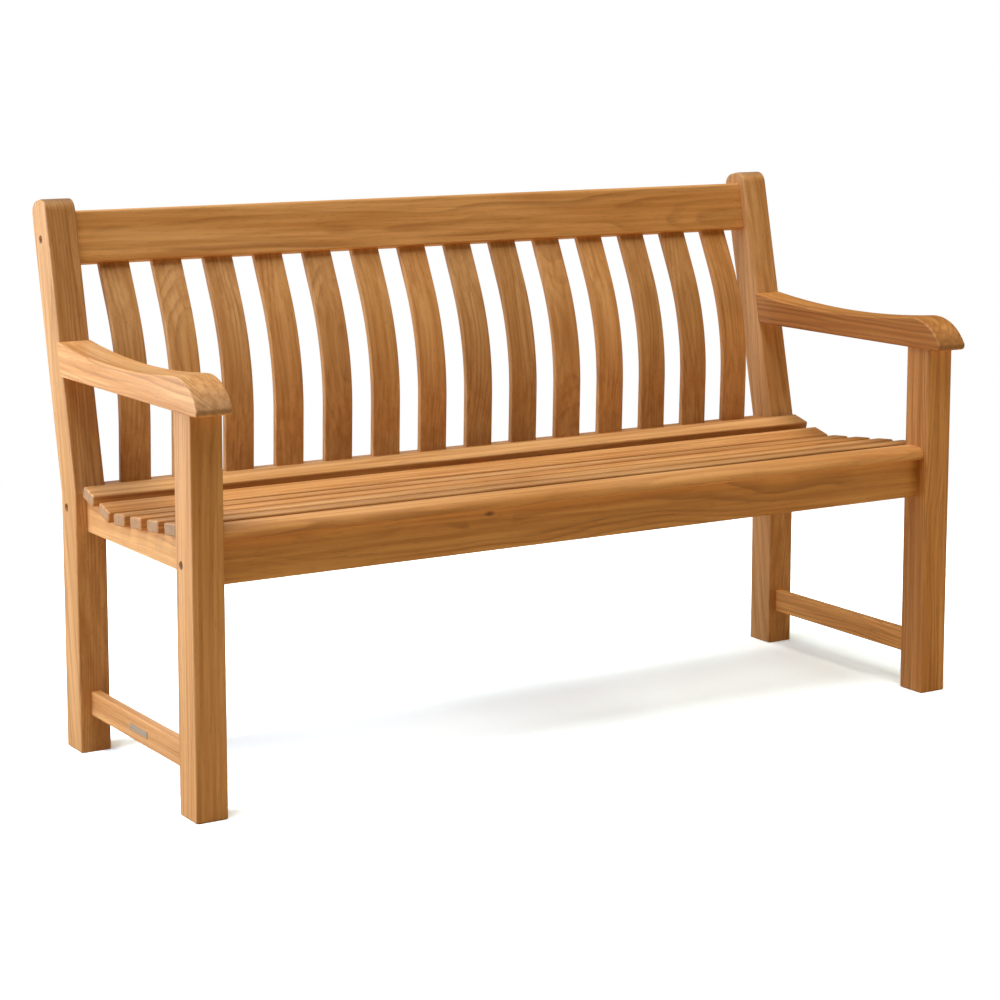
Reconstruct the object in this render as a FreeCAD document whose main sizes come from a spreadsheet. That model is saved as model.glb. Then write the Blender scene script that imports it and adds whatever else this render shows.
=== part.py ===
import FreeCAD, Part
import Sketcher
import math
import os
import re

# A three-seat garden bench in solid hardwood.  Every piece of wood, bolt, dowel
# and screw is a solid of its own.  The origin is under the middle of the bench,
# on the ground: +X runs along the bench, -Y is the side people sit down from,
# +Z is up.  In the sheet, depths are counted backwards from the front face of
# the front legs, and heights from the ground.

os.makedirs("parts", exist_ok=True)
doc = FreeCAD.newDocument("garden_bench")
sizes = doc.addObject("Spreadsheet::Sheet", "sizes")

DRIVING = {
    # side frames
    "frame_width": 1520,          # over the outer faces of the legs
    "leg_width": 55,
    "leg_depth": 60,
    "leg_gap": 395,               # between front and back leg
    "bench_height": 930,          # top of the back legs
    "seat_height": 458,           # top of the front strip; the heights of the seat hang from it
    "bend_drop": 12,              # where the front face of the back leg starts to lean
    "rake": 12.4,                 # lean of the back legs, degrees
    "leg_top_round": 22,
    "edge_round": 3,
    # arms
    "arm_bottom": 638,
    "arm_thick": 55.4,            # at the crest above the front leg
    "arm_width": 62,
    "arm_crest": 46,              # depth of the crest
    "arm_nose_round": 88,
    "arm_lip_round": 8,
    "arm_dish_round": 1900,
    "arm_dish_angle": 6.5,        # slope where the nose curve meets the dished top
    "butt_round": 0.8,            # fine easing of the end that meets the back leg
    # rails between the legs of a side frame
    "rail_inset": 21,             # from the outer face of the legs
    "side_rail_thick": 25,
    "side_rail_drop": 78,         # underside of the side rails
    "stretcher_thick": 18,
    "stretcher_height": 42,
    "stretcher_bottom": 63,
    # dished seat: two slopes that meet at the dip
    "dip_drop": 45,               # top of the rails at the dip
    "rear_slope": 14.6,
    "front_slope": 5.25,
    "seat_slat_width": 42,
    "seat_slat_thick": 20,
    "seat_slat_round": 3.5,
    "dip_to_rear_slat": 3,
    "seat_rear_gap": 9.7,         # between the last slat and the back legs
    "slat_overhang": 12,          # past the outer face of the side rails
    "bearer_thick": 30,
    # front apron and the bullnose strip on it
    "apron_setback": 26,
    "apron_thick": 28,
    "apron_drop": 93,             # underside of the apron
    "nose_thick": 22,
    "nose_overhang": 18,
    "nose_top_round": 16,
    "nose_under_round": 5,
    # back rails
    "back_rail_thick": 35,
    "top_rail_height": 90,
    "top_rail_drop": 108,         # front lower edge below the top of the back legs
    "top_rail_setback": 15,       # behind the leaning front faces of the legs
    "top_rail_round": 6,
    "low_rail_height": 70,
    "low_rail_drop": 76,          # underside of the low back rail
    "low_rail_setback": 21,
    # curved back slats
    "back_slat_width": 55,
    "back_slat_thick": 12,
    "back_slat_round": 2,
    "back_slat_setback": 29.2,    # front face behind the front face of the back leg
    "back_slat_entry": 9.9,       # behind the front face of the top rail
    "curve_rise": 89.8,           # where the curve begins, above the low back rail
    "slat_straight": 75.6,        # from the end of the curve to the top rail
    "low_lean": 1.7,              # forward, below the curve, degrees
    "slat_tenon": 18,
    # joints
    "fit_gap": 0.15,
    "side_rail_tenon": 13,        # stops short of the bolts and dowels of the cross rails
    "stretcher_tenon": 25,
    "tenon_thick": 12,
    "tenon_shoulder": 8,          # above and below a rail's tenon
    "leg_tenon": 30,              # into the arm, length, width and depth
    "leg_tenon_width": 28,
    "leg_tenon_depth": 34,
    "bearer_tenon": 10,
    # fasteners
    "bolt_round": 4,
    "bolt_head_round": 6.5,
    "bolt_head_height": 8,
    "bolt_recess": 12,
    "bolt_recess_round": 7,
    "bolt_socket_round": 3.4,     # over the corners of the hexagon
    "bolt_socket_depth": 4,
    "bolt_reach": 42,             # past the inner face of the leg
    "nut_round": 6,
    "nut_length": 18,
    "nut_place": 30,
    "dowel_round": 5,
    "dowel_reach": 25,
    "rail_dowel_step": 22,
    "arm_dowel_step": 14,
    "arm_dowel_rise": 26,         # above the underside of the arm
    "screw_round": 2.25,
    "screw_head_round": 4,
    "screw_head_height": 3,
    "screw_in_slat": 14,
    "screw_in_rail": 23,
    "screw_bore_round": 5,
    "nose_dowel_round": 4,
    "nose_dowel_reach": 12,
    "nose_dowel_step": 300,
    # small blank plate on the left stretcher
    "plate_length": 68,
    "plate_height": 10,
    "plate_thick": 1.2,
    "plate_depth": 260,           # its middle
    "plate_margin": 4,
    "plate_pin_round": 1,
    "plate_pin_head": 1.8,
    "plate_pin_reach": 6,
}
BACK_SLATS = 14
REAR_SLATS = 2
FRONT_SLATS = 4
NOSE_DOWELS = 5

for row, (alias, value) in enumerate(DRIVING.items(), start=1):
    sizes.set("A%d" % row, alias)
    sizes.set("B%d" % row, str(value))
    sizes.setAlias("B%d" % row, alias)
doc.recompute()

# Places worked out from the driving sizes, as formulas in their names.
PLACES = {
    "back_leg_front": "leg_depth + leg_gap",
    "back_leg_rear": "back_leg_front + leg_depth",
    "half_width": "frame_width / 2",
    "inner_half": "half_width - leg_width",
    "leg_middle": "half_width - leg_width / 2",
    "bend_height": "seat_height - bend_drop",
    "rail_outer": "half_width - rail_inset",
    "rail_middle": "rail_outer - side_rail_thick / 2",
    "stretcher_middle": "rail_outer - stretcher_thick / 2",
    # length of the leaning part of the back leg, along its front face
    "post_run": "(bench_height - bend_height - leg_top_round * (1 - sin(rake))) / cos(rake)"
                " + leg_top_round",
    "round_run": "post_run - leg_top_round",
    # nose of the arm: a large arc, then a small lip arc inside it
    "nose_height": "arm_bottom + arm_thick - arm_nose_round",
    "lip_rise": "arm_bottom + arm_lip_round - nose_height",
    "lip_depth": "arm_crest - sqrt((arm_nose_round - arm_lip_round)^2 - (lip_rise)^2)",
    "lip_share": "arm_nose_round / (arm_nose_round - arm_lip_round)",
    "dish_depth": "arm_crest + (arm_nose_round + arm_dish_round) * sin(arm_dish_angle)",
    "dish_height": "nose_height + (arm_nose_round + arm_dish_round) * cos(arm_dish_angle)",
    # where the dished top of the arm meets the front face of the back leg
    "centre_along": "(dish_depth - back_leg_front) * sin(rake) + (dish_height - bend_height) * cos(rake)",
    "centre_aside": "(dish_depth - back_leg_front) * cos(rake) - (dish_height - bend_height) * sin(rake)",
    "arm_end_run": "centre_along - sqrt(arm_dish_round^2 - (centre_aside)^2)",
    # foremost and rearmost points, and the middle between them
    "foremost": "lip_depth - arm_lip_round",
    "rearmost": "back_leg_front + round_run * sin(rake)"
                " + (leg_depth - leg_top_round) * cos(rake) + leg_top_round",
    "mid_depth": "(foremost + rearmost) / 2",
    # seat: the slats share out the run from the front strip to the back legs, over the dip
    "side_rail_bottom": "seat_height - side_rail_drop",
    "dip_height": "seat_height - dip_drop",
    "apron_bottom": "seat_height - apron_drop",
    "nose_bottom": "seat_height - nose_thick",
    "apron_rear": "apron_setback + apron_thick",
    "front_wood": "(%d * seat_slat_width - dip_to_rear_slat) * cos(front_slope)" % FRONT_SLATS,
    "rear_wood": "(%d * seat_slat_width + dip_to_rear_slat) * cos(rear_slope)" % REAR_SLATS,
    "seat_slat_gap": "(back_leg_front - apron_rear - seat_rear_gap - front_wood - rear_wood)"
                     " / (1 + %d * cos(front_slope) + %d * cos(rear_slope))" % (FRONT_SLATS, REAR_SLATS - 1),
    "slat_step": "seat_slat_width + seat_slat_gap",
    "dip_to_front_slat": "seat_slat_gap - dip_to_rear_slat",
    "dip_depth": "apron_rear + seat_slat_gap + (%d * slat_step - dip_to_rear_slat) * cos(front_slope)"
                 % FRONT_SLATS,
    "seat_slat_length": "2 * (rail_outer + slat_overhang)",
    "apron_height": "nose_bottom - apron_bottom",
    "nose_front": "apron_setback - nose_overhang",
    "low_rail_bottom": "seat_height - low_rail_drop",
    "low_rail_front": "back_leg_front + low_rail_setback",
    "low_rail_top": "low_rail_bottom + low_rail_height",
    "top_rail_bottom": "bench_height - top_rail_drop",
    "top_rail_front": "back_leg_front + top_rail_setback + (top_rail_bottom - bend_height) * tan(rake)",
    # back slats: the curve starts above the low rail, and its far tangent enters the top rail
    "curve_start": "back_leg_front + back_slat_setback",
    "curve_height": "low_rail_top + curve_rise",
    "entry_depth": "top_rail_front + back_slat_entry * cos(rake)",
    "entry_height": "top_rail_bottom - back_slat_entry * sin(rake)",
    "entry_back": "entry_depth - curve_start",
    "entry_up": "entry_height - curve_height",
    "curve_round": "((entry_back)^2 + (entry_up)^2 - slat_straight^2)"
                   " / (2 * (entry_back * cos(low_lean) + entry_up * sin(low_lean)))",
    "curve_centre": "curve_start + curve_round * cos(low_lean)",
    "curve_centre_height": "curve_height + curve_round * sin(low_lean)",
    "high_lean": "(atan((entry_height - curve_centre_height) / (curve_centre - entry_depth))"
                 " - atan(slat_straight / curve_round)) / 1deg",
    "curve_end": "curve_centre - curve_round * cos(high_lean)",
    "curve_end_height": "curve_centre_height + curve_round * sin(high_lean)",
    "slat_foot": "low_rail_top - slat_tenon",
    "foot_start": "curve_start + (curve_height - slat_foot) * tan(low_lean)",
    "back_slat_gap": "(2 * inner_half - %d * back_slat_width) / %d" % (BACK_SLATS, BACK_SLATS + 1),
    "back_slat_step": "back_slat_width + back_slat_gap",
}
WORD = re.compile(r"[a-z_]+")


def formula(text):
    """Spell a formula out in the sheet's own cells."""
    def spell(match):
        word = match.group(0)
        if word in PLACES:
            return "(" + formula(PLACES[word]) + ")"
        if word in DRIVING:
            return "sizes." + word
        return word
    return WORD.sub(spell, str(text))


def value_of(text):
    return float(sizes.evalExpression(formula(text)))


def bind(item, name, text):
    item.setExpression(name, formula(text))


def place(item, across, depth, height, tilt=None, axis=(1, 0, 0)):
    """Set an object at a place in the bench, turned by tilt degrees about an axis."""
    if tilt is not None:
        item.Placement = FreeCAD.Placement(FreeCAD.Vector(), FreeCAD.Rotation(FreeCAD.Vector(*axis), 1))
        bind(item, "Placement.Rotation.Angle", tilt)
    bind(item, "Placement.Base.x", across)
    bind(item, "Placement.Base.y", "(%s) - mid_depth" % depth)
    bind(item, "Placement.Base.z", height)
    return item


# ---- sketched bodies ---------------------------------------------------------

def arc_between(start, end, radius, centre_left):
    """The shorter arc between two points, its centre left or right of the way from start to end."""
    chord = end - start
    left = FreeCAD.Vector(-chord.y, chord.x, 0).normalize()
    rise = math.sqrt(max(radius ** 2 - (chord.Length / 2) ** 2, 0))
    centre = (start + end) * 0.5 + left * (rise if centre_left else -rise)
    first, last = (start, end) if centre_left else (end, start)
    begin = math.atan2(first.y - centre.y, first.x - centre.x)
    finish = math.atan2(last.y - centre.y, last.x - centre.x)
    if finish < begin:
        finish += 2 * math.pi
    return Part.ArcOfCircle(Part.Circle(centre, FreeCAD.Vector(0, 0, 1), radius), begin, finish)


def draw_outline(sketch, corners, arcs):
    """Draw a closed outline whose corners, and the radii of its arcs, follow the sheet.

    corners: (first, second) formulas, counter-clockwise.
    arcs: {index of the edge that starts at that corner: (radius, centre on the left)}.
    """
    points = [FreeCAD.Vector(value_of(a), value_of(b), 0) for a, b in corners]
    ends = []
    for index, start in enumerate(points):
        end = points[(index + 1) % len(points)]
        if index in arcs:
            radius, centre_left = arcs[index]
            sketch.addGeometry(arc_between(start, end, value_of(radius), centre_left))
            ends.append((1, 2) if centre_left else (2, 1))
        else:
            sketch.addGeometry(Part.LineSegment(start, end))
            ends.append((1, 2))
    for index in range(len(points)):
        after = (index + 1) % len(points)
        sketch.addConstraint(Sketcher.Constraint("Coincident", index, ends[index][1], after, ends[after][0]))
    for index, point in enumerate(points):
        for kind, size, text in zip(("DistanceX", "DistanceY"), (point.x, point.y), corners[index]):
            here = (index, ends[index][0])
            if size < 0:
                number = sketch.addConstraint(Sketcher.Constraint(kind, *here, -1, 1, -size))
                bind(sketch, "Constraints[%d]" % number, "-(%s)" % text)
            else:
                number = sketch.addConstraint(Sketcher.Constraint(kind, -1, 1, *here, size))
                bind(sketch, "Constraints[%d]" % number, text)
    for index, (radius, _) in arcs.items():
        number = sketch.addConstraint(Sketcher.Constraint("Radius", index, value_of(radius)))
        bind(sketch, "Constraints[%d]" % number, radius)


def padded_body(name, plane, corners, arcs, length, both_ways=True):
    """A body: one sketched outline on an origin plane, padded square to it."""
    body = doc.addObject("PartDesign::Body", name)
    sketch = body.newObject("Sketcher::SketchObject", name + "_outline")
    support = [part for part in body.Origin.OriginFeatures if part.Role == plane][0]
    sketch.AttachmentSupport = [(support, "")]
    sketch.MapMode = "FlatFace"
    draw_outline(sketch, corners, arcs)
    pad = body.newObject("PartDesign::Pad", name + "_pad")
    pad.Profile = sketch
    pad.SideType = "Symmetric" if both_ways else "One side"
    bind(pad, "Length", length)
    doc.recompute()
    return body


def rounded_bar(name, plane, width, height, rounds, length, both_ways=True):
    """A straight bar of rectangular section, each corner with its own radius."""
    low_near, low_far, top_far, top_near = rounds
    corners = [(low_near, 0), ("%s - %s" % (width, low_far), 0),
               (width, low_far), (width, "%s - %s" % (height, top_far)),
               ("%s - %s" % (width, top_far), height), (top_near, height),
               (0, "%s - %s" % (height, top_near)), (0, low_near)]
    arcs = {1: (low_far, True), 3: (top_far, True), 5: (top_near, True), 7: (low_near, True)}
    return padded_body(name, plane, corners, arcs, length, both_ways)


def ease_edges(body, radius, wanted):
    """Round the edges of a body that the test picks."""
    base = body.Tip
    picked = ["Edge%d" % (number + 1) for number, edge in enumerate(base.Shape.Edges) if wanted(edge)]
    fillet = body.newObject("PartDesign::Fillet", base.Name + "_eased")
    fillet.Base = (base, picked)
    bind(fillet, "Radius", radius)
    doc.recompute()


def on_side_faces(edge):
    """Edges that lie in a plane square to X, as the rim of a board sawn to an outline does."""
    return edge.BoundBox.XLength < 0.01


def along_run(edge):
    """Rim edges that run along a rail, not the ones at its butted ends."""
    return edge.BoundBox.XLength < 0.01 and edge.BoundBox.YLength > 0.01


def at_foot(edge):
    return edge.BoundBox.ZMax < 0.01


# ---- loose solids for tenons, mortises, holes and fasteners ------------------

def block(name, across, depth, height, length, width, tall, tilt=None):
    item = doc.addObject("Part::Box", name)
    bind(item, "Length", length)
    bind(item, "Width", width)
    bind(item, "Height", tall)
    return place(item, across, depth, height, tilt)


def rod(name, across, depth, height, radius, length, tilt=None, axis=(1, 0, 0)):
    item = doc.addObject("Part::Cylinder", name)
    bind(item, "Radius", radius)
    bind(item, "Height", length)
    return place(item, across, depth, height, tilt, axis)


def joined(name, items):
    item = doc.addObject("Part::MultiFuse", name)
    item.Shapes = items
    return item


def grouped(name, items):
    item = doc.addObject("Part::Compound", name)
    item.Links = items
    return item


def less(name, base, tool):
    item = doc.addObject("Part::Cut", name)
    item.Base = base
    item.Tool = tool
    return item


blanks = {}      # node name: the sawn piece
tenons = {}      # node name: what is left standing on it
cutters = {}     # node name: what is cut from it
nodes = []       # finished objects


def add_blank(name, body):
    blanks[name] = body
    tenons[name] = []
    cutters[name] = []


def cut_from(tool, *names):
    for name in names:
        cutters[name].append(tool)


def side_name(side):
    return "left" if side < 0 else "right"


# ---- side frames -------------------------------------------------------------

def front_leg(side):
    name = "front_leg_" + side_name(side)
    body = rounded_bar(name + "_blank", "XY_Plane", "leg_width", "leg_depth", ["edge_round"] * 4,
                       "arm_bottom", both_ways=False)
    ease_edges(body, "edge_round", at_foot)
    place(body, "%d * leg_middle - leg_width / 2" % side, 0, 0)
    add_blank(name, body)


def back_leg(side):
    """Straight up to the seat, then leaning back; the top is rounded front and rear."""
    name = "back_leg_" + side_name(side)
    leaning = "back_leg_front + (%s) * sin(rake) + (%s) * cos(rake)"
    rising = "bend_height + (%s) * cos(rake) - (%s) * sin(rake)"
    corners = [("back_leg_front", 0), ("back_leg_rear", 0),
               ("back_leg_rear", "bend_height - leg_depth * tan(rake / 2)")]
    for run, thick in (("round_run", "leg_depth"), ("post_run", "leg_depth - leg_top_round"),
                       ("post_run", "leg_top_round"), ("round_run", "0")):
        corners.append((leaning % (run, thick), rising % (run, thick)))
    corners.append(("back_leg_front", "bend_height"))
    arcs = {3: ("leg_top_round", True), 5: ("leg_top_round", True)}
    body = padded_body(name + "_blank", "YZ_Plane", corners, arcs, "leg_width")
    ease_edges(body, "edge_round", on_side_faces)
    place(body, "%d * leg_middle" % side, 0, 0)
    add_blank(name, body)


def arm_rim(edge):
    """Rim edges of an arm, but for its butted rear end."""
    return along_run(edge) and edge.BoundBox.YMin < value_of("back_leg_front")


def arm_butt(edge):
    """Edges in the leaning plane of the back leg's front face."""
    lean = math.radians(value_of("rake"))
    off = [(point.Y - value_of("back_leg_front")) * math.cos(lean)
           - (point.Z - value_of("bend_height")) * math.sin(lean) for point in edge.Vertexes]
    return max(abs(distance) for distance in off) < 0.01


def arm(side):
    """Flat underneath, dished on top, with a full round nose; its rear end fits the leaning back leg."""
    name = "arm_" + side_name(side)
    corners = [("lip_depth", "arm_bottom"),
               ("back_leg_front + (arm_bottom - bend_height) * tan(rake)", "arm_bottom"),
               ("back_leg_front + arm_end_run * sin(rake)", "bend_height + arm_end_run * cos(rake)"),
               ("arm_crest + arm_nose_round * sin(arm_dish_angle)",
                "nose_height + arm_nose_round * cos(arm_dish_angle)"),
               ("arm_crest + (lip_depth - arm_crest) * lip_share", "nose_height + lip_rise * lip_share")]
    arcs = {2: ("arm_dish_round", False), 3: ("arm_nose_round", True), 4: ("arm_lip_round", True)}
    body = padded_body(name + "_blank", "YZ_Plane", corners, arcs, "arm_width")
    ease_edges(body, "edge_round", arm_rim)
    ease_edges(body, "butt_round", arm_butt)
    place(body, "%d * leg_middle" % side, 0, 0)
    add_blank(name, body)
    # the front leg ends in a stub tenon inside the arm
    leg = "front_leg_" + side_name(side)
    tenons[leg].append(block(leg + "_tenon", "%d * leg_middle - leg_tenon_width / 2" % side,
                             "(leg_depth - leg_tenon_depth) / 2", "arm_bottom - 1",
                             "leg_tenon_width", "leg_tenon_depth", "leg_tenon + 1"))
    cut_from(block(name + "_mortise", "%d * leg_middle - leg_tenon_width / 2 - fit_gap" % side,
                   "(leg_depth - leg_tenon_depth) / 2 - fit_gap", "arm_bottom - 1",
                   "leg_tenon_width + 2 * fit_gap", "leg_tenon_depth + 2 * fit_gap",
                   "leg_tenon + 1 + fit_gap"), name)


def end_tenons(name, middle, low, high, front_piece, front_face, rear_piece, rear_face, reach):
    """A tenon at each end of a piece that runs from front to back, and the mortises for them."""
    start = "(%s) - tenon_thick / 2" % middle
    bottom = "(%s) + tenon_shoulder" % low
    tall = "(%s) - (%s) - 2 * tenon_shoulder" % (high, low)
    for piece, end, backwards in ((front_piece, front_face, False), (rear_piece, rear_face, True)):
        begin = "(%s) - 1" % end if backwards else "(%s) - (%s)" % (end, reach)
        tenons[name].append(block("%s_tenon_in_%s" % (name, piece), start, begin, bottom,
                                  "tenon_thick", "(%s) + 1" % reach, tall))
        if not backwards:
            begin = "(%s) - fit_gap" % begin
        cut_from(block("%s_mortise_for_%s" % (piece, name), start + " - fit_gap", begin,
                       bottom + " - fit_gap", "tenon_thick + 2 * fit_gap", "(%s) + 1 + fit_gap" % reach,
                       tall + " + 2 * fit_gap"), piece)


def dished_top(depth, rearward):
    """Height of the rails under the seat slats, at a depth before or behind the dip."""
    if rearward:
        return "dip_height + ((%s) - dip_depth) * tan(rear_slope)" % depth
    return "dip_height + (dip_depth - (%s)) * tan(front_slope)" % depth


def dished_rail(name, middle, thick, front, rear):
    corners = [(front, "side_rail_bottom"), (rear, "side_rail_bottom"), (rear, dished_top(rear, True)),
               ("dip_depth", "dip_height"), (front, dished_top(front, False))]
    body = padded_body(name + "_blank", "YZ_Plane", corners, {}, thick)
    ease_edges(body, "edge_round / 2", along_run)
    place(body, middle, 0, 0)
    add_blank(name, body)


def side_rails(side):
    word = side_name(side)
    rail = "side_rail_" + word
    dished_rail(rail, "%d * rail_middle" % side, "side_rail_thick", "leg_depth", "back_leg_front")
    end_tenons(rail, "%d * rail_middle" % side, "side_rail_bottom", "dip_height",
               "front_leg_" + word, "leg_depth", "back_leg_" + word, "back_leg_front", "side_rail_tenon")
    stretcher = "side_stretcher_" + word
    body = rounded_bar(stretcher + "_blank", "XZ_Plane", "stretcher_thick", "stretcher_height",
                       ["edge_round"] * 4, "leg_gap", both_ways=False)
    place(body, "%d * stretcher_middle - stretcher_thick / 2" % side, "back_leg_front", "stretcher_bottom")
    add_blank(stretcher, body)
    end_tenons(stretcher, "%d * stretcher_middle" % side, "stretcher_bottom",
               "stretcher_bottom + stretcher_height", "front_leg_" + word, "leg_depth",
               "back_leg_" + word, "back_leg_front", "stretcher_tenon")


# ---- pieces that run along the bench -------------------------------------------

def long_rails():
    apron = rounded_bar("front_apron_blank", "YZ_Plane", "apron_thick", "apron_height",
                        ["edge_round"] * 4, "2 * inner_half")
    add_blank("front_apron", place(apron, 0, "apron_setback", "apron_bottom"))
    nose = rounded_bar("seat_front_strip_blank", "YZ_Plane", "(apron_thick + nose_overhang)", "nose_thick",
                       ["nose_under_round", "edge_round", "seat_slat_round", "nose_top_round"],
                       "2 * inner_half")
    add_blank("seat_front_strip", place(nose, 0, "nose_front", "nose_bottom"))
    low = rounded_bar("low_back_rail_blank", "YZ_Plane", "back_rail_thick", "low_rail_height",
                      ["edge_round"] * 4, "2 * inner_half")
    add_blank("low_back_rail", place(low, 0, "low_rail_front", "low_rail_bottom"))
    top = rounded_bar("top_back_rail_blank", "YZ_Plane", "back_rail_thick", "top_rail_height",
                      ["edge_round", "edge_round", "top_rail_round", "top_rail_round"], "2 * inner_half")
    add_blank("top_back_rail", place(top, 0, "top_rail_front", "top_rail_bottom", "-rake"))


def middle_bearer():
    dished_rail("middle_bearer", "0", "bearer_thick", "apron_rear", "low_rail_front")
    end_tenons("middle_bearer", "0", "side_rail_bottom", "dip_height", "front_apron", "apron_rear",
               "low_back_rail", "low_rail_front", "bearer_tenon")


SEAT_RAILS = ("side_rail_left", "middle_bearer", "side_rail_right")


def seat_screws(slat, distance, tilt, rearward):
    """A screw up into the slat from each rail under it, with its head in a bore from below."""
    screws = []
    if rearward:
        depth = "dip_depth + (%s) * cos(rear_slope) - (%s) * sin(rear_slope)"
        height = "dip_height + (%s) * sin(rear_slope) + (%s) * cos(rear_slope)"
    else:
        depth = "dip_depth - (%s) * cos(front_slope) + (%s) * sin(front_slope)"
        height = "dip_height + (%s) * sin(front_slope) + (%s) * cos(front_slope)"
    for rail, middle in zip(SEAT_RAILS, ("-rail_middle", "0", "rail_middle")):
        name = "%s_%s" % (slat, rail)

        def along(kind, rise, radius, length):
            return rod("%s_%s" % (kind, name), middle, depth % (distance, rise), height % (distance, rise),
                       radius, length, tilt)
        shank = along("shank", "-screw_in_rail", "screw_round", "screw_in_rail + screw_in_slat")
        head = along("head", "-screw_in_rail - screw_head_height", "screw_head_round", "screw_head_height")
        screws.append(joined("screw_" + name, [shank, head]))
        hole = along("hole", "-screw_in_rail - 1", "screw_round + fit_gap",
                     "screw_in_rail + screw_in_slat + 1 + fit_gap")
        bore = along("bore", "-screw_in_rail - 60", "screw_bore_round", "60")
        cut_from(joined("clear_" + name, [hole, bore]), slat, rail)
    return screws


def seat_slats():
    """Slats on both slopes of the dished rails, numbered from the back of the seat."""
    screws = []
    number = 0
    for rearward, count in ((True, REAR_SLATS), (False, FRONT_SLATS)):
        order = reversed(range(count)) if rearward else range(count)
        for index in order:
            number += 1
            name = "seat_slat_%d" % number
            body = rounded_bar(name + "_blank", "YZ_Plane", "seat_slat_width", "seat_slat_thick",
                               ["seat_slat_round"] * 4, "seat_slat_length")
            ease_edges(body, "edge_round", on_side_faces)
            if rearward:
                near = "dip_to_rear_slat + %d * slat_step" % index
                tilt = "rear_slope"
                place(body, 0, "dip_depth + (%s) * cos(rear_slope)" % near,
                      "dip_height + (%s) * sin(rear_slope)" % near, tilt)
            else:
                near = "dip_to_front_slat + %d * slat_step" % index
                far = "(%s + seat_slat_width)" % near
                tilt = "-front_slope"
                place(body, 0, "dip_depth - %s * cos(front_slope)" % far,
                      "dip_height + %s * sin(front_slope)" % far, tilt)
            add_blank(name, body)
            screws += seat_screws(name, near + " + seat_slat_width / 2", tilt, rearward)
    nodes.append(grouped("seat_screws", screws))


# ---- back --------------------------------------------------------------------

def back_slat(number):
    """Upright at the seat, curved back over the small of the back, straight into the top rail."""
    name = "back_slat_%02d" % (number + 1)
    tip = "(slat_straight + slat_tenon)"
    low_tan = "back_slat_thick / cos(low_lean)"
    corners = [("foot_start", "slat_foot"), ("foot_start + " + low_tan, "slat_foot"),
               ("curve_start + back_slat_thick * cos(low_lean)",
                "curve_height + back_slat_thick * sin(low_lean)"),
               ("curve_end + back_slat_thick * cos(high_lean)",
                "curve_end_height - back_slat_thick * sin(high_lean)"),
               ("curve_end + %s * sin(high_lean) + back_slat_thick * cos(high_lean)" % tip,
                "curve_end_height + %s * cos(high_lean) - back_slat_thick * sin(high_lean)" % tip),
               ("curve_end + %s * sin(high_lean)" % tip, "curve_end_height + %s * cos(high_lean)" % tip),
               ("curve_end", "curve_end_height"), ("curve_start", "curve_height")]
    # seen with depth to the right and height up, the curve's centre is behind the slat
    arcs = {2: ("curve_round - back_slat_thick", False), 6: ("curve_round", True)}
    body = padded_body(name + "_blank", "YZ_Plane", corners, arcs, "back_slat_width")
    ease_edges(body, "back_slat_round", on_side_faces)
    middle = "(%s) * back_slat_step" % (number - (BACK_SLATS - 1) / 2)
    add_blank(name, place(body, middle, 0, 0))
    start = middle + " - back_slat_width / 2 - fit_gap"
    width = "back_slat_width + 2 * fit_gap"
    thick = "back_slat_thick + 2 * fit_gap"
    run = "(slat_straight - 15)"
    cut_from(block(name + "_upper_mortise", start,
                   "curve_end + %s * sin(high_lean) - fit_gap * cos(high_lean)" % run,
                   "curve_end_height + %s * cos(high_lean) + fit_gap * sin(high_lean)" % run,
                   width, thick, "15 + slat_tenon + fit_gap", "-high_lean"), "top_back_rail")
    cut_from(block(name + "_lower_mortise", start, "foot_start - fit_gap * cos(low_lean) + tan(low_lean)",
                   "slat_foot - 1", width, thick, "slat_tenon + 15", "low_lean"), "low_back_rail")


# ---- bolts, barrel nuts and dowels at the ends of the three long rails ---------

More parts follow.
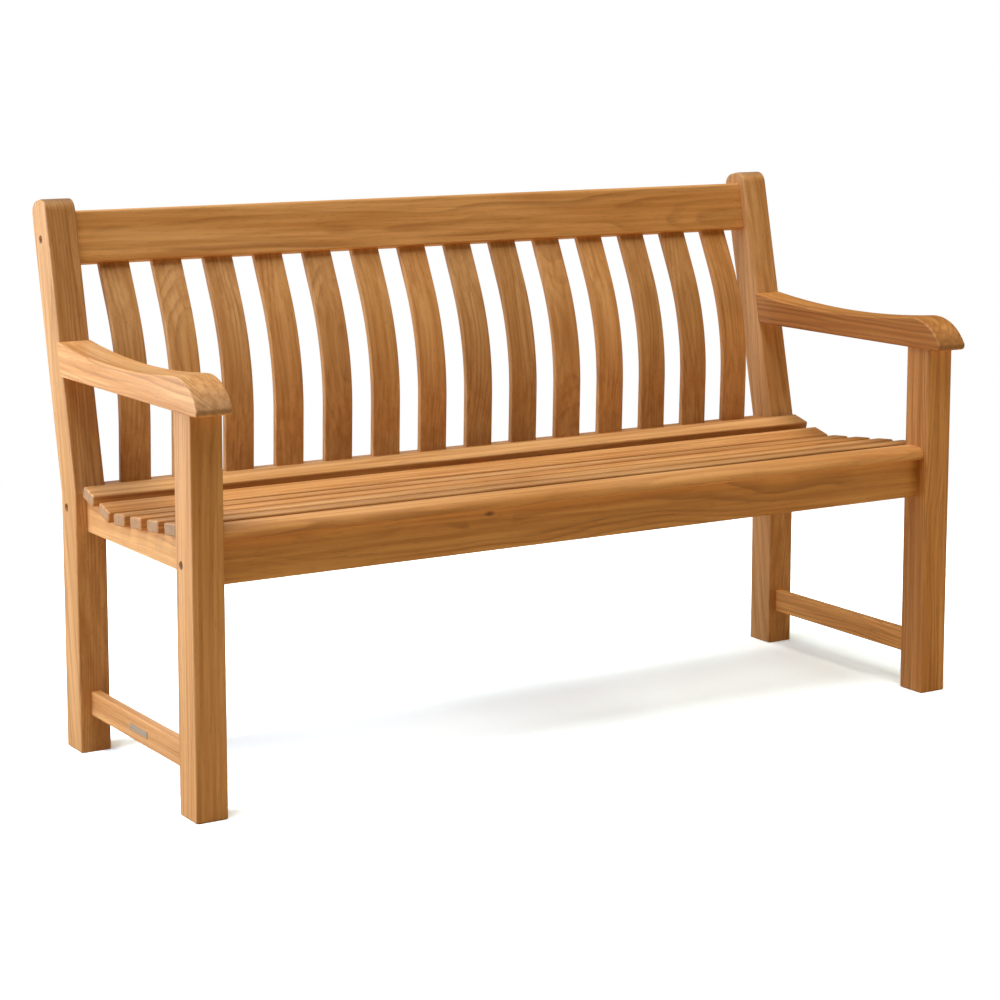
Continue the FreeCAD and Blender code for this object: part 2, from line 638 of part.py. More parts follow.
def rail_ends():
    bolts, nuts, dowels = [], [], []
    turned = "-rake"
    rails = {
        "front_apron": ("front_leg_", "apron_setback + apron_thick / 2",
                        "(apron_bottom + nose_bottom) / 2", "apron_thick", None),
        "low_back_rail": ("back_leg_", "low_rail_front + back_rail_thick / 2",
                          "low_rail_bottom + low_rail_height / 2", "back_rail_thick", None),
        "top_back_rail": ("back_leg_",
                          "top_rail_front + back_rail_thick / 2 * cos(rake) + top_rail_height / 2 * sin(rake)",
                          "top_rail_bottom - back_rail_thick / 2 * sin(rake) + top_rail_height / 2 * cos(rake)",
                          "back_rail_thick", turned),
    }
    for rail, (leg_word, depth, height, thick, lean) in rails.items():
        for side in (-1, 1):
            leg = leg_word + side_name(side)
            tag = "%s_%s" % (rail, side_name(side))

            def crosswise(kind, reach_from, radius, length, shift="0"):
                """A rod along X that starts at a distance from the middle and runs inwards."""
                slip = ("(%s) * sin(rake)" % shift, "(%s) * cos(rake)" % shift) if lean else ("0", shift)
                start = "%d * (%s)" % (side, reach_from) if side < 0 else "(%s) - (%s)" % (reach_from, length)
                return rod("%s_%s" % (kind, tag), start, "(%s) + %s" % (depth, slip[0]),
                           "(%s) + %s" % (height, slip[1]), radius, length, "90", (0, 1, 0))
            head = crosswise("bolt_head", "half_width - bolt_recess + bolt_head_height",
                             "bolt_head_round", "bolt_head_height")
            shank = crosswise("bolt_shank", "half_width - bolt_recess", "bolt_round",
                              "leg_width - bolt_recess + bolt_reach")
            socket = doc.addObject("Part::Prism", "bolt_socket_" + tag)
            socket.Polygon = 6
            bind(socket, "Circumradius", "bolt_socket_round")
            bind(socket, "Height", "bolt_socket_depth + 1")
            socket_foot = "half_width - bolt_recess + bolt_head_height"
            socket_start = (socket_foot + " + 1") if side < 0 else (socket_foot + " - bolt_socket_depth")
            place(socket, "%d * (%s)" % (side, socket_start), depth, height, "90", (0, 1, 0))
            bolts.append(less("bolt_" + tag, joined("bolt_blank_" + tag, [head, shank]), socket))
            recess = crosswise("recess", "half_width + 5", "bolt_recess_round", "5 + bolt_recess")
            hole = crosswise("bolt_hole", "half_width", "bolt_round + 2 * fit_gap",
                             "leg_width + bolt_reach + 1")
            # the barrel nut lies across the rail, in a bore from its rear face
            inset = "(%s - nut_length) / 2" % thick
            nut_x = "%d * (inner_half - nut_place)" % side
            aim = "-(90 + rake)" if lean else "-90"
            back_y, back_z = ("cos(rake)", "sin(rake)") if lean else ("1", "0")

            def across_rail(kind, from_middle, radius, length):
                return rod("%s_%s" % (kind, tag), nut_x, "(%s) + (%s) * %s" % (depth, from_middle, back_y),
                           "(%s) - (%s) * %s" % (height, from_middle, back_z), radius, length, aim)
            barrel = across_rail("barrel", "-nut_length / 2", "nut_round", "nut_length")
            thread = crosswise("thread", "inner_half", "bolt_round + fit_gap", "nut_place + bolt_reach")
            nuts.append(less("nut_" + tag, barrel, thread))
            bore = across_rail("nut_bore", "-nut_length / 2 - fit_gap", "nut_round + fit_gap",
                               "nut_length + %s + 5" % inset)
            cut_from(joined("bolt_clear_" + tag, [recess, hole]), leg, rail)
            cut_from(bore, rail)
            for step in (-1, 1):
                word = "dowel" + ("_low" if step < 0 else "_high")
                shift = "%d * rail_dowel_step" % step
                dowels.append(crosswise(word, "inner_half + dowel_reach", "dowel_round",
                                        "2 * dowel_reach", shift))
                cut_from(crosswise(word + "_hole", "inner_half + dowel_reach + 1", "dowel_round + fit_gap",
                                   "2 * dowel_reach + 2", shift), leg, rail)
    nodes.append(grouped("frame_bolts", bolts))
    nodes.append(grouped("barrel_nuts", nuts))
    nodes.append(grouped("rail_dowels", dowels))


def arm_dowels():
    """Two dowels hold the rear of each arm to the leaning face of the back leg."""
    pins = []
    run = "((arm_bottom + arm_dowel_rise - bend_height) / cos(rake))"
    for side in (-1, 1):
        for step in (-1, 1):
            tag = "arm_dowel_%s_%s" % (side_name(side), "in" if side * step < 0 else "out")

            def square_to_leg(kind, reach, radius):
                return rod(kind, "%d * leg_middle + %d * arm_dowel_step" % (side, step),
                           "back_leg_front + %s * sin(rake) - (%s) * cos(rake)" % (run, reach),
                           "bend_height + %s * cos(rake) + (%s) * sin(rake)" % (run, reach),
                           radius, "2 * (%s)" % reach, "-(90 + rake)")
            pins.append(square_to_leg(tag, "dowel_reach", "dowel_round"))
            cut_from(square_to_leg(tag + "_hole", "dowel_reach + 1", "dowel_round + fit_gap"),
                     "arm_" + side_name(side), "back_leg_" + side_name(side))
    nodes.append(grouped("arm_dowels", pins))


def nose_dowels():
    """Upright dowels between the apron and the strip on it."""
    pins = []
    for index in range(NOSE_DOWELS):
        across = "%g * nose_dowel_step" % (index - (NOSE_DOWELS - 1) / 2)
        depth = "apron_setback + apron_thick / 2"
        tag = "nose_dowel_%d" % (index + 1)
        pins.append(rod(tag, across, depth, "nose_bottom - nose_dowel_reach", "nose_dowel_round",
                        "2 * nose_dowel_reach"))
        cut_from(rod(tag + "_hole", across, depth, "nose_bottom - nose_dowel_reach - 1",
                     "nose_dowel_round + fit_gap", "2 * nose_dowel_reach + 2"),
                 "front_apron", "seat_front_strip")
    nodes.append(grouped("nose_dowels", pins))


def stretcher_plate():
    """A small blank plate with two pins, on the outer face of the left stretcher."""
    height = "stretcher_bottom + (stretcher_height - plate_height) / 2"
    middle_height = "stretcher_bottom + stretcher_height / 2"
    plate = block("plate_blank", "-rail_outer - plate_thick", "plate_depth - plate_length / 2", height,
                  "plate_thick", "plate_length", "plate_height")
    pins, holes = [], []
    for end in (-1, 1):
        depth = "plate_depth + %d * (plate_length / 2 - plate_margin)" % end
        tag = "plate_pin_" + ("front" if end < 0 else "rear")
        face = "-rail_outer - plate_thick"
        head = rod(tag + "_head", face + " - 0.6", depth, middle_height, "plate_pin_head", "0.6",
                   "90", (0, 1, 0))
        shank = rod(tag + "_shank", face, depth, middle_height, "plate_pin_round",
                    "plate_thick + plate_pin_reach", "90", (0, 1, 0))
        pins.append(joined(tag, [head, shank]))
        holes.append(rod(tag + "_hole", face, depth, middle_height, "plate_pin_round + fit_gap / 2",
                         "plate_thick + plate_pin_reach + 1", "90", (0, 1, 0)))
    drill = joined("plate_drill", holes)
    cut_from(drill, "side_stretcher_left")
    nodes.append(less("blank_plate", plate, drill))
    nodes.append(grouped("plate_pins", pins))


# ---- build -------------------------------------------------------------------

for hand in (-1, 1):
    front_leg(hand)
    back_leg(hand)
    arm(hand)
    side_rails(hand)
long_rails()
middle_bearer()
seat_slats()
for place_number in range(BACK_SLATS):
    back_slat(place_number)
rail_ends()
arm_dowels()
nose_dowels()
stretcher_plate()

for node, piece in blanks.items():
    if tenons[node]:
        piece = joined(node + "_with_tenons", [piece] + tenons[node])
    if cutters[node]:
        tool = cutters[node][0]
        if len(cutters[node]) > 1:
            tool = joined(node + "_cutters", cutters[node])
        piece = less(node + "_cut", piece, tool)
    piece.Label = node
    nodes.append(piece)
doc.recompute()

for item in doc.Objects:
    if "Invalid" in item.State or "Error" in item.State:
        raise RuntimeError("%s did not rebuild: %s" % (item.Name, item.State))
for item in nodes:
    if item.Shape.isNull() or not item.Shape.isValid():
        raise RuntimeError("%s has no valid shape" % item.Label)
for item in nodes:
    item.Shape.exportStep("parts/%s.step" % item.Label)
    box = item.Shape.BoundBox
    print("%-22s solids %2d  volume %10.0f  x %8.1f %8.1f  y %7.1f %7.1f  z %6.1f %6.1f" % (
        item.Label, len(item.Shape.Solids), item.Shape.Volume,
        box.XMin, box.XMax, box.YMin, box.YMax, box.ZMin, box.ZMax))
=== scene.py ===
# %% [markdown]
# # A hardwood garden bench
# The joiner's part of this bench is already exact: every leg, rail and slat comes
# in as a fixed solid.  What is left for Blender is what the eye reads as wood, oil
# and daylight.  This lesson loads the solids, stands a camera and lamps around
# them, and then grows a tree inside each board.

import math
import random

import bpy
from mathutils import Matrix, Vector


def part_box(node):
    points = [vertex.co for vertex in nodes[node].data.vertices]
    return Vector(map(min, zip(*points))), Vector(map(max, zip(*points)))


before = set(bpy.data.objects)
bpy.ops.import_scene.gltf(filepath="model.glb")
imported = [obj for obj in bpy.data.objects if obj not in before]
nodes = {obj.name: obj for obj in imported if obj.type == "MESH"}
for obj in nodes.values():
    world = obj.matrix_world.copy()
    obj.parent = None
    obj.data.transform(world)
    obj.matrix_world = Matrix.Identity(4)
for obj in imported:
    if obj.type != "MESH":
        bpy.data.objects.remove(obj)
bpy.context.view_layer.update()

# %% [markdown]
# ## Helpers for every finish
# Colours are written as a painter would note them, in sRGB hex, and one function
# turns them to the linear values that the renderer adds up.  One more function adds
# a shader node, sets its options and joins its inputs.  With it a finish reads from
# top to bottom as a list, where long blocks of links would hide the wood.

# %% Colours and nodes
MM = 0.001


def linear(hex_colour):
    """sRGB hex to linear RGBA.

    Each channel c becomes ((c + 0.055) / 1.055) ** 2.4, or c / 12.92 when it is dark.
    """
    channels = [int(hex_colour[i:i + 2], 16) / 255 for i in (1, 3, 5)]
    return [c / 12.92 if c <= 0.04045 else ((c + 0.055) / 1.055) ** 2.4 for c in channels] + [1.0]


def add(tree, kind, settings=None, **inputs):
    """Add a node, set its options and give its inputs.

    An input goes by its name, with _ for a space, or by its place: in0, in1 and so on.
    It is a value, an output to link, or a node, which gives its first output.
    """
    node = tree.nodes.new(kind)
    for name, value in (settings or {}).items():
        setattr(node, name, value)
    for name, value in inputs.items():
        place = int(name[2:]) if name[2:].isdigit() else name.replace("_", " ")
        if isinstance(value, bpy.types.Node):
            value = value.outputs[0]
        if isinstance(value, bpy.types.NodeSocket):
            tree.links.new(value, node.inputs[place])
        else:
            node.inputs[place].default_value = value
    return node


print("linear mid grey", round(linear("#808080")[0], 3))

# %% Materials and the pieces that wear them
def new_material(name):
    """A material, its node tree, and the Principled shader that it ends in."""
    material = bpy.data.materials.new(name)
    material.use_nodes = True
    tree = material.node_tree
    tree.nodes.clear()
    shader = add(tree, "ShaderNodeBsdfPrincipled")
    add(tree, "ShaderNodeOutputMaterial", Surface=shader)
    return material, tree, shader


def coat(material, *names):
    """Give a finish to pieces of the bench."""
    for name in names:
        for slot in nodes[name].material_slots:
            slot.material = material


print("first pieces", sorted(nodes)[:3])

# %% [markdown]
# ## Where the viewer stands
# A three-quarter view from the front left, a little above the arms, through a
# portrait lens, which keeps the far end nearly as large as the near one.  A level
# lens with a large shift would draw the legs quite upright, but would leave a view
# from another side badly framed.  So the lens is tilted down by a few degrees, and
# a small shift does the rest.

# %% Camera
LENS = 91.4                      # mm, on a 36 mm sensor
EYE = Vector((-2.361, -3.746, 1.224))
TURN = math.radians(31.93)       # from looking along +Y towards +X
TILT = math.radians(8.01)        # downwards
SHIFT = -0.12

camera_data = bpy.data.cameras.new("portrait_lens")
camera_data.lens = LENS
camera_data.sensor_width = 36
camera_data.shift_y = SHIFT
camera_data.dof.use_dof = False
camera = bpy.data.objects.new("camera", camera_data)
camera.location = EYE
camera.rotation_euler = (math.pi / 2 - TILT, 0, -TURN)
bpy.context.scene.collection.objects.link(camera)
bpy.context.scene.camera = camera
print("camera", [round(value, 3) for value in EYE])

# %% [markdown]
# ## A white studio floor
# The bench stands on white paper that is lit until it has no edge, with faint
# shadows close to the feet.  A curved sweep would do it on a real set.  Here the
# floor is flat: near the bench it is paper that takes shadows, and further out it
# turns into an even white glow.  Only the viewer sees that white, because so much
# light from below would wash out the wood; the bench itself sees a dull warm floor.

# %% Floor
FLOOR_SIDE = 60.0                # m
FADE_FROM, FADE_TO = 1.3, 2.6    # m from the bench: shadows fade out between these
OVEREXPOSED = (1.60, 1.80, 1.77, 1)    # linear, past white, as paper under studio lamps
DULL = "#c4ac84"

floor_mesh = bpy.data.meshes.new("floor")
half = FLOOR_SIDE / 2
floor_mesh.from_pydata([(-half, -half, 0), (half, -half, 0), (half, half, 0), (-half, half, 0)], [],
                       [(0, 1, 2, 3)])
floor = bpy.data.objects.new("floor", floor_mesh)
bpy.context.scene.collection.objects.link(floor)

paper = bpy.data.materials.new("white_studio_sweep")
paper.use_nodes = True
tree = paper.node_tree
tree.nodes.clear()
place = add(tree, "ShaderNodeTexCoord").outputs["Object"]
away = add(tree, "ShaderNodeVectorMath", {"operation": "LENGTH"}, in0=place).outputs["Value"]
fade = add(tree, "ShaderNodeMapRange", {"interpolation_type": "SMOOTHSTEP"}, Value=away,
           From_Min=FADE_FROM, From_Max=FADE_TO)
sheet = add(tree, "ShaderNodeBsdfDiffuse", Color=OVEREXPOSED)
glow = add(tree, "ShaderNodeEmission", Color=(1, 1, 1, 1), Strength=1.0)
viewed = add(tree, "ShaderNodeMixShader", in0=fade, in1=sheet, in2=glow)
dull = add(tree, "ShaderNodeBsdfDiffuse", Color=linear(DULL))
by_camera = add(tree, "ShaderNodeLightPath").outputs["Is Camera Ray"]
both = add(tree, "ShaderNodeMixShader", in0=by_camera, in1=dull, in2=viewed)
add(tree, "ShaderNodeOutputMaterial", Surface=both)
floor_mesh.materials.append(paper)
print("floor", FLOOR_SIDE, "m square")

# %% [markdown]
# ## Lamps
# Tops and left faces are bright, and the fronts stay warm and deep.  So a cool
# window stands close on the left, a weak warm lamp fills the fronts from the right,
# a broad white backdrop draws a light edge along the wood from behind, and a sun
# with a very wide disc stands in for a soft ceiling.  A sun lights near and far
# alike, which a ceiling lamp of the same softness would need a hall to do.

# %% Softboxes and ceiling
def softbox(name, watts, colour, place, aim, width, height):
    """A soft rectangular lamp at a place, turned to shine at a point, and not seen itself."""
    data = bpy.data.lights.new(name, "AREA")
    data.shape = "RECTANGLE"
    data.energy, data.color = watts, linear(colour)[:3]
    data.size, data.size_y = width, height
    lamp = bpy.data.objects.new(name, data)
    lamp.location = place
    lamp.rotation_euler = (Vector(aim) - Vector(place)).to_track_quat("-Z", "Y").to_euler()
    lamp.visible_camera = False
    bpy.context.scene.collection.objects.link(lamp)


softbox("window", watts=31, colour="#c8daff", place=(-1.95, 0.35, 0.85), aim=(-0.6, 0.0, 0.42),
        width=1.1, height=1.2)
softbox("fill", watts=10, colour="#ffe0a4", place=(2.1, -2.9, 0.35), aim=(0.1, -0.2, 0.4),
        width=1.6, height=0.6)
softbox("backdrop", watts=40, colour="#ffffff", place=(-0.6, 3.2, 1.2), aim=(-0.2, 0.0, 0.6),
        width=6.5, height=2.4)

CEILING_STRENGTH = 3.2
CEILING_DISC = math.radians(42)
CEILING_TURN = (math.radians(4), math.radians(-10), 0)
ceiling_data = bpy.data.lights.new("overhead", "SUN")
ceiling_data.energy, ceiling_data.angle = CEILING_STRENGTH, CEILING_DISC
ceiling = bpy.data.objects.new("overhead", ceiling_data)
ceiling.rotation_euler = CEILING_TURN
bpy.context.scene.collection.objects.link(ceiling)

# %% Surround
SURROUND = "#ffe0b0"
SURROUND_STRENGTH = 0.05         # what the bench gets from all round; the viewer sees plain white

world = bpy.data.worlds.new("surround")
world.use_nodes = True
tree = world.node_tree
tree.nodes.clear()
dim = add(tree, "ShaderNodeBackground", Color=linear(SURROUND), Strength=SURROUND_STRENGTH)
white = add(tree, "ShaderNodeBackground", Color=(1, 1, 1, 1), Strength=1.0)
by_camera = add(tree, "ShaderNodeLightPath").outputs["Is Camera Ray"]
both = add(tree, "ShaderNodeMixShader", in0=by_camera, in1=dim, in2=white)
add(tree, "ShaderNodeOutputWorld", Surface=both)
bpy.context.scene.world = world
bpy.context.scene.view_settings.view_transform = "Standard"
print("surround", SURROUND, SURROUND_STRENGTH)

# %% [markdown]
# ## Growing the wood
# Teak is golden brown, with growth rings a few millimetres apart, open pores that
# show as fine dark dashes, and slow drifts from honey to red-brown.  A board is a
# cut through a trunk, so the pattern here is a trunk too: rings round a heart,
# wandering a little along the grain.  Stripes laid on each face would be quicker,
# but they would break at every edge.  A piece sawn from its own place in a trunk
# has faces that agree, and rings that turn up on the end grain by themselves.

# %% A trunk that wanders
WANDER = ((150, 420, 35), (28, 130, 7))    # mm: how wide, how long and how far, slow then fine


def grain_noise(tree, trunk, across_mm, along_mm, detail=1.0):
    """Smooth noise, drawn out along the trunk: its features are about so many mm wide and long."""
    scale = (1000 / across_mm, 1000 / across_mm, 1000 / along_mm)
    drawn_out = add(tree, "ShaderNodeMapping", Vector=trunk, Scale=scale)
    return add(tree, "ShaderNodeTexNoise", Vector=drawn_out, Scale=1.0, Detail=detail)


def wander(tree, trunk):
    """Push every point of the trunk sideways, by a noise less its middle, once for each scale."""
    point = trunk
    for across_mm, along_mm, push_mm in WANDER:
        noise = grain_noise(tree, trunk, across_mm, along_mm).outputs["Color"]
        sideways = add(tree, "ShaderNodeVectorMath", {"operation": "SUBTRACT"}, in0=noise,
                       in1=(0.5, 0.5, 0.5))
        point = add(tree, "ShaderNodeVectorMath", {"operation": "MULTIPLY_ADD"}, in0=sideways,
                    in1=(push_mm * MM, push_mm * MM, 0), in2=point)
    return point


print("the trunk wanders by up to", sum(push for _, _, push in WANDER) / 2, "mm")

# %% [markdown]
# ## Rings
# Each year a trunk adds a pale band, and then a darker one that stops dead.  A sine
# wave would give the bands even sides and even spacing, and the eye sees that at
# once.  The fraction of a year, bent into a slow rise and a quick fall, keeps the
# sharp edge, and a noise on the years themselves makes some of them fat and some lean.

# %% Growth rings
UNEVEN_YEARS = 3.0               # how far fat and lean years pull the rings about, in rings
RISE_FROM, RISE_TO = 0.40, 0.88  # parts of a year: latewood darkens slowly
FALL_FROM, FALL_TO = 0.90, 1.00  # and early wood starts at once
LINE_FADES = (30, 500)           # mm across and along the grain between weak and strong lines
WEAKEST_LINE = 0.10


def growth_rings(tree, trunk, ring_mm, swelling):
    """1 on a latewood line, 0 in early wood.

    The years are the distance from the heart over the ring spacing, plus the swelling
    near a knot, plus a slow noise on the years themselves.  A line is the fraction of
    the year, bent into a slow rise and a quick fall, and fades in and out along the grain.
    """
    across = add(tree, "ShaderNodeVectorMath", {"operation": "MULTIPLY"}, in0=wander(tree, trunk),
                 in1=(1, 1, 0))
    distance = add(tree, "ShaderNodeVectorMath", {"operation": "LENGTH"}, in0=across).outputs["Value"]
    years = add(tree, "ShaderNodeMath", {"operation": "MULTIPLY_ADD"}, in0=distance, in1=1000 / ring_mm,
                in2=swelling)
    uneven = add(tree, "ShaderNodeTexNoise", {"noise_dimensions": "1D"}, W=years, Scale=0.3, Detail=1.0)
    years = add(tree, "ShaderNodeMath", {"operation": "MULTIPLY_ADD"}, in0=uneven, in1=UNEVEN_YEARS,
                in2=years)
    season = add(tree, "ShaderNodeMath", {"operation": "FRACT"}, in0=years)
    rise = add(tree, "ShaderNodeMapRange", Value=season, From_Min=RISE_FROM, From_Max=RISE_TO)
    fall = add(tree, "ShaderNodeMapRange", Value=season, From_Min=FALL_FROM, From_Max=FALL_TO,
               To_Min=1.0, To_Max=0.0)
    line = add(tree, "ShaderNodeMath", {"operation": "MULTIPLY"}, in0=rise, in1=fall)
    strength = add(tree, "ShaderNodeMapRange", Value=grain_noise(tree, trunk, *LINE_FADES), From_Min=0.40,
                   From_Max=0.62, To_Min=WEAKEST_LINE, To_Max=1.0)
    return add(tree, "ShaderNodeMath", {"operation": "MULTIPLY"}, in0=line, in1=strength)


print("latewood takes", round(1 - RISE_FROM, 2), "of a year")

# %% [markdown]
# ## A knot
# One small knot shows on the apron.  A dark spot alone would look painted on, as the
# rings of a real board swell round a knot.  So the distance from the knot does two
# jobs: it adds years close by, and it masks the dark middle.

# %% Knots
KNOT_DRAWN_OUT = 0.45            # a knot's shape runs along the grain
KNOT_SWELLING = 2.2              # rings pushed outwards at its middle
KNOT_REACH = 7                   # times its radius, where the rings run straight again


def knot_distance(tree, trunk, place):
    """Distance from a knot, with the part along the grain made shorter."""
    apart = add(tree, "ShaderNodeVectorMath", {"operation": "SUBTRACT"}, in0=trunk, in1=place)
    apart = add(tree, "ShaderNodeVectorMath", {"operation": "MULTIPLY"}, in0=apart,
                in1=(1, 1, KNOT_DRAWN_OUT))
    return add(tree, "ShaderNodeVectorMath", {"operation": "LENGTH"}, in0=apart).outputs["Value"]


print("a knot bends the rings for", KNOT_REACH, "times its radius")

# %% [markdown]
# ## Colour and surface
# The patterns lie over each other as glazes do: slow drift, streaks, ring lines,
# fibres, pores, the knot, and last the end grain, which drinks more oil and goes
# dark.  A picture of a board would be quicker, but it would repeat, and it has one
# face only.  Oiled wood has no film on it, so it is satin, and its relief is slight.

# %% Colours of teak, in layers
PALE = "#e3ac6c"                 # early wood
MIDDLE = "#d09553"
DEEP = "#b47434"                 # streaks and fibres
LATE = "#80491c"                 # latewood lines
CORE = "#4a2a14"                 # pores and knots
END = "#8a6d50"                  # end grain drinks more oil


def layered(tree, first, layers, tone):
    """Lay colours over the first: each one times its mask, plus what is below times the rest.

    A layer is a pattern, where it starts to show, where it is full, how much it covers
    then, and its colour.  Every colour is multiplied by the piece's tone, which on the
    right arm also holds painted shade.
    """
    def shade(hex_colour):
        return [channel * factor for channel, factor in zip(linear(hex_colour), tone)] + [1.0]

    colour = shade(first)
    for pattern, start, full, cover, hex_colour in layers:
        mask = add(tree, "ShaderNodeMapRange", Value=pattern, From_Min=start, From_Max=full, To_Max=cover)
        colour = add(tree, "ShaderNodeMix", {"data_type": "RGBA"}, in0=mask, in6=colour,
                     in7=shade(hex_colour)).outputs[2]
    return colour


print("teak from", PALE, "to", CORE)

# %% Teak
ROUGH_LOW, ROUGH_HIGH = 0.46, 0.62
BUMP_STRENGTH = 0.3
BUMP_DEPTH = 0.4 * MM
GROOVE = -0.5                    # depth of a ring line beside the height of the fibres


def teak(name, centre, grain, heart, ring_mm, tone, figure, knot):
    """Teak, planed, sanded and oiled: a satin surface, with its pattern in Object coordinates.

    centre: the piece's middle.  grain: the direction of the trunk in the piece.
    heart: from the piece's middle to the heart of the trunk, in metres, across the grain.
    ring_mm: spacing of the growth rings.  tone: factors on linear red, green and blue.
    figure: strength of the pattern.  knot: None, or its place from the middle and its radius, in metres.
    """
    material, tree, shader = new_material(name)
    turn = grain.rotation_difference(Vector((0, 0, 1)))
    rotation = turn.to_matrix()
    trunk = add(tree, "ShaderNodeMapping", Vector=add(tree, "ShaderNodeTexCoord").outputs["Object"],
                Location=rotation @ -centre - heart, Rotation=turn.to_euler())
    normal = add(tree, "ShaderNodeNewGeometry").outputs["Normal"]
    along = add(tree, "ShaderNodeVectorMath", {"operation": "DOT_PRODUCT"}, in0=normal,
                in1=rotation.transposed() @ Vector((0, 0, 1))).outputs["Value"]
    end_grain = add(tree, "ShaderNodeMath", {"operation": "ABSOLUTE"}, in0=along)
    swelling, knot_layer = 0.0, []
    if knot:
        place, radius = knot
        away = knot_distance(tree, trunk, rotation @ place - heart)
        swelling = add(tree, "ShaderNodeMapRange", {"interpolation_type": "SMOOTHERSTEP"}, Value=away,
                       From_Max=KNOT_REACH * radius, To_Min=KNOT_SWELLING, To_Max=0.0)
        knot_layer = [(away, 1.3 * radius, 0.3 * radius, 0.75, CORE)]
    late = growth_rings(tree, trunk, ring_mm, swelling)
    # real fibres are hair-fine and pores 0.2 mm across: they are drawn 2 to 3 mm wide, so that they show
    fibre = grain_noise(tree, trunk, 2.6, 160, 2.0)
    colour = layered(tree, PALE, [
        (grain_noise(tree, trunk, 45, 600, 2.0), 0.35, 0.65, 1.0, MIDDLE),
        (grain_noise(tree, trunk, 9, 350, 2.0), 0.40, 0.66, 0.85 * figure, DEEP),
        (late, 0.0, 1.0, 0.60 * figure, LATE),
        (fibre, 0.35, 0.75, 0.30 * figure, DEEP),
        (grain_noise(tree, trunk, 1.6, 28), 0.62, 0.72, 0.22, CORE),
        *knot_layer,
        (end_grain, 0.55, 0.98, 0.65, END),
    ], tone)
    tree.links.new(colour, shader.inputs["Base Color"])
    # raised fibres stay dull; pores crowd along each ring line, which makes it a shallow groove
    rough = add(tree, "ShaderNodeMapRange", Value=fibre, From_Min=0.2, From_Max=0.8, To_Min=ROUGH_LOW,
                To_Max=ROUGH_HIGH)
    tree.links.new(rough.outputs[0], shader.inputs["Roughness"])
    height = add(tree, "ShaderNodeMath", {"operation": "MULTIPLY_ADD"}, in0=late, in1=GROOVE, in2=fibre)
    bump = add(tree, "ShaderNodeBump", Strength=BUMP_STRENGTH, Distance=BUMP_DEPTH, Height=height)
    tree.links.new(bump.outputs[0], shader.inputs["Normal"])
    return material


print("teak is satin, with a roughness of", ROUGH_LOW, "to", ROUGH_HIGH)

# %% [markdown]
# ## Sawing
# The sawyer turns the log so that long pieces show straight lines.  A slat sawn with
# the heart off to its side keeps those lines along the curve; a few are sawn with the
# heart behind them, and show arches.  No two boards have the same tone either.  The
# dice are seeded, so that the bench is the same bench every time.

# %% How each kind of piece is sawn
ALONG_X, ALONG_Y, ALONG_Z = Vector((1, 0, 0)), Vector((0, 1, 0)), Vector((0, 0, 1))
LEG_LEAN, SLAT_LEAN, RAIL_LEAN = Vector((0, 0.14, 1)), Vector((0, 0.22, 1)), Vector((1, 0.03, 0))

SAWN = {  # kind: (grain, degrees to the heart of the trunk, mm between rings, strength of the figure)
    "front_leg": (ALONG_Z, 60, 6.0, 0.75), "back_leg": (LEG_LEAN, 25, 6.0, 0.65),
    "arm": (ALONG_Y, 50, 7.0, 0.8), "side_rail": (ALONG_Y, 40, 6.0, 0.55),
    "side_stretcher": (ALONG_Y, 60, 6.0, 0.7), "middle": (ALONG_Y, 60, 6.0, 1.0),
    "front_apron": (ALONG_X, 50, 7.0, 0.75), "seat_front": (ALONG_X, 60, 6.0, 0.7),
    "low_back": (ALONG_X, 60, 6.0, 1.0), "top_back": (RAIL_LEAN, 80, 9.0, 0.7),
    "back_slat": (SLAT_LEAN, 15, 8.0, 0.6), "seat_slat": (ALONG_X, 30, 6.0, 0.9),
}
ARCHED = ("back_slat_02", "back_slat_05", "back_slat_10")
ARCHED_HEART = 80                # degrees: nearly straight behind the face
KNOTS = {"front_apron": (Vector((-0.213, -0.014, 0.027)), 4.5 * MM)}
TONES_AND_PAINTED_SHADE = {  # paler and darker boards: factors on red, green and blue
    "front_apron": (1.04, 1.09, 1.08), "top_back_rail": (1.22, 1.25, 1.23),
    # arm_right is darker and redder partly as its own board and partly as painted shade: the window light
    # falling off at the far right end is painted into its tone
    "arm_left": (1.05, 1.07, 1.12), "arm_right": (0.88, 0.76, 0.52),
    "front_leg_right": (1.05, 1.03, 0.95), "side_rail_left": (0.98, 1.04, 1.08),
    "side_stretcher_left": (1.06, 1.08, 1.15), "side_stretcher_right": (1.35, 1.28, 0.98),
}
print(len(SAWN), "kinds of piece")

# %% Saw each piece from its own place in the trunk
dice = random.Random(7)
HEART_SPREAD = 12                # degrees either way
HEART_NEAR, HEART_FAR = 0.07, 0.13    # m from the piece's middle to the heart of the trunk
SLOPE = 0.015                    # how far the grain may run out of the piece
DARKEST, LIGHTEST = 0.88, 1.10
REDDEST = 0.05
RINGS_CLOSE, RINGS_WIDE = 0.85, 1.2    # times the usual spacing


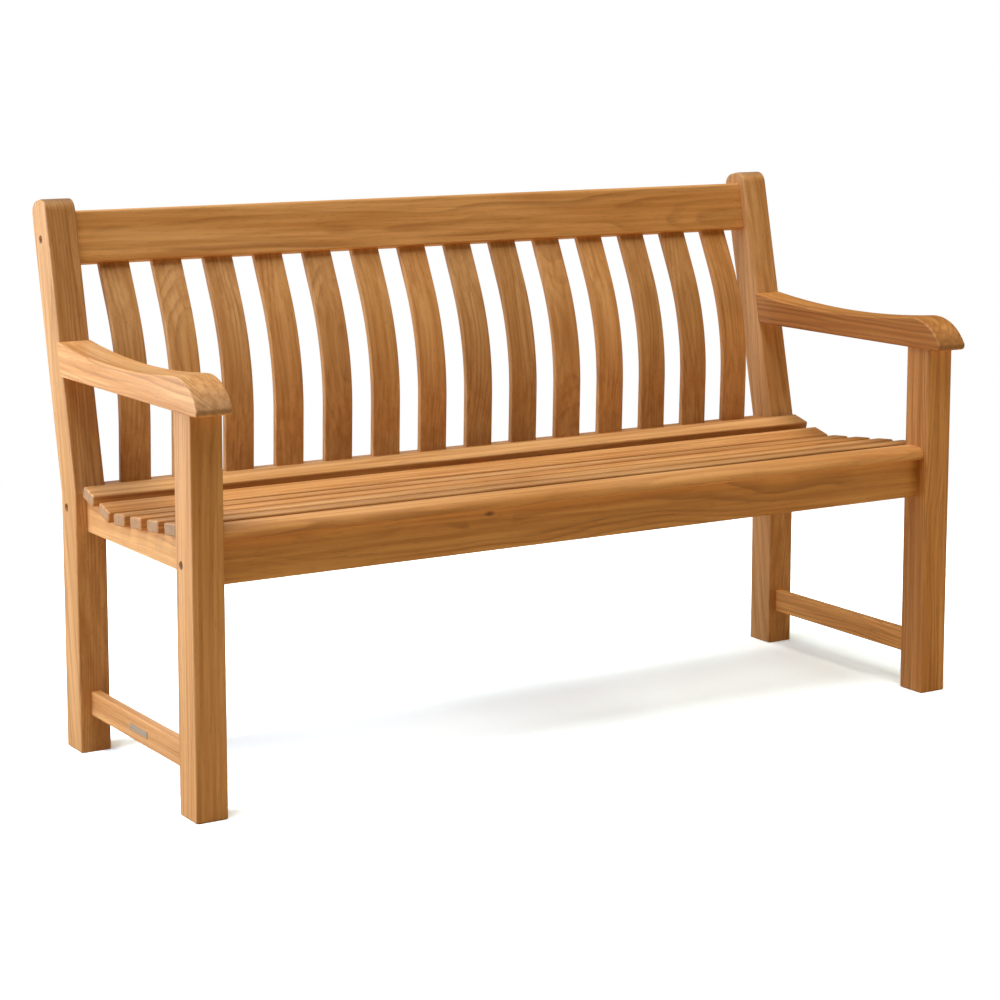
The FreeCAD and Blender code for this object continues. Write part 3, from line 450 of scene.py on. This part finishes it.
def saw(name):
    """Throw for a piece's place in the trunk, the lie of its grain and its tone, and make its teak.

    The heart is at a distance and an angle from the middle; tone is light times a shift to red or yellow.
    """
    grain, degrees, ring_mm, figure = next(SAWN[kind] for kind in SAWN if name.startswith(kind))
    if name in ARCHED:
        degrees = ARCHED_HEART
    angle = math.radians(degrees + dice.uniform(-HEART_SPREAD, HEART_SPREAD)) * dice.choice((-1, 1))
    distance = dice.uniform(HEART_NEAR, HEART_FAR)
    side = dice.choice((-1, 1))
    heart = Vector((distance * math.cos(angle) * side, distance * math.sin(angle), 0))
    slope = Vector([dice.uniform(-SLOPE, SLOPE) for _ in range(3)])
    light = dice.uniform(DARKEST, LIGHTEST)
    red = dice.uniform(-REDDEST, REDDEST)
    shift = (1 + 0.5 * red, 1 - 0.5 * red, 1 - 2 * red)
    tone = [light * channel * own for channel, own in zip(shift, TONES_AND_PAINTED_SHADE.get(name, (1, 1, 1)))]
    low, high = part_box(name)
    return teak("oiled_teak_" + name, (low + high) / 2, grain + slope, heart,
                ring_mm * dice.uniform(RINGS_CLOSE, RINGS_WIDE), tone, figure, KNOTS.get(name))


wooden = [name for name in sorted(nodes) if name.startswith(tuple(SAWN))]
for name in wooden:
    coat(saw(name), name)
print(len(wooden), "pieces of teak")

# %% [markdown]
# ## Dowels, bolts and the plate
# The dowels are turned beech, left bare and matt, and sit inside the joints.  The
# bolts, nuts and screws are steel with a bright zinc coat, a little dulled by its
# passivation, and the plate and its pins are satin aluminium.  They are a few
# millimetres across, so one even finish each says what they are; scratches would be
# finer than the eye finds at this distance.

# %% Dowels and metal
def plain(name, hex_colour, roughness, metallic, *names):
    """One even finish on some pieces; metals keep the default index of refraction."""
    material, tree, shader = new_material(name)
    shader.inputs["Base Color"].default_value = linear(hex_colour)
    shader.inputs["Roughness"].default_value = roughness
    shader.inputs["Metallic"].default_value = metallic
    coat(material, *names)


plain("beech_dowel", "#c79a66", 0.6, 0.0, "rail_dowels", "arm_dowels", "nose_dowels")
plain("zinc_plated_steel", "#e0dfdc", 0.42, 1.0, "frame_bolts", "barrel_nuts", "seat_screws")
plain("satin_aluminium", "#b9b6b4", 0.42, 1.0, "blank_plate", "plate_pins")
print(len(nodes) - len(wooden), "pieces of beech and metal")
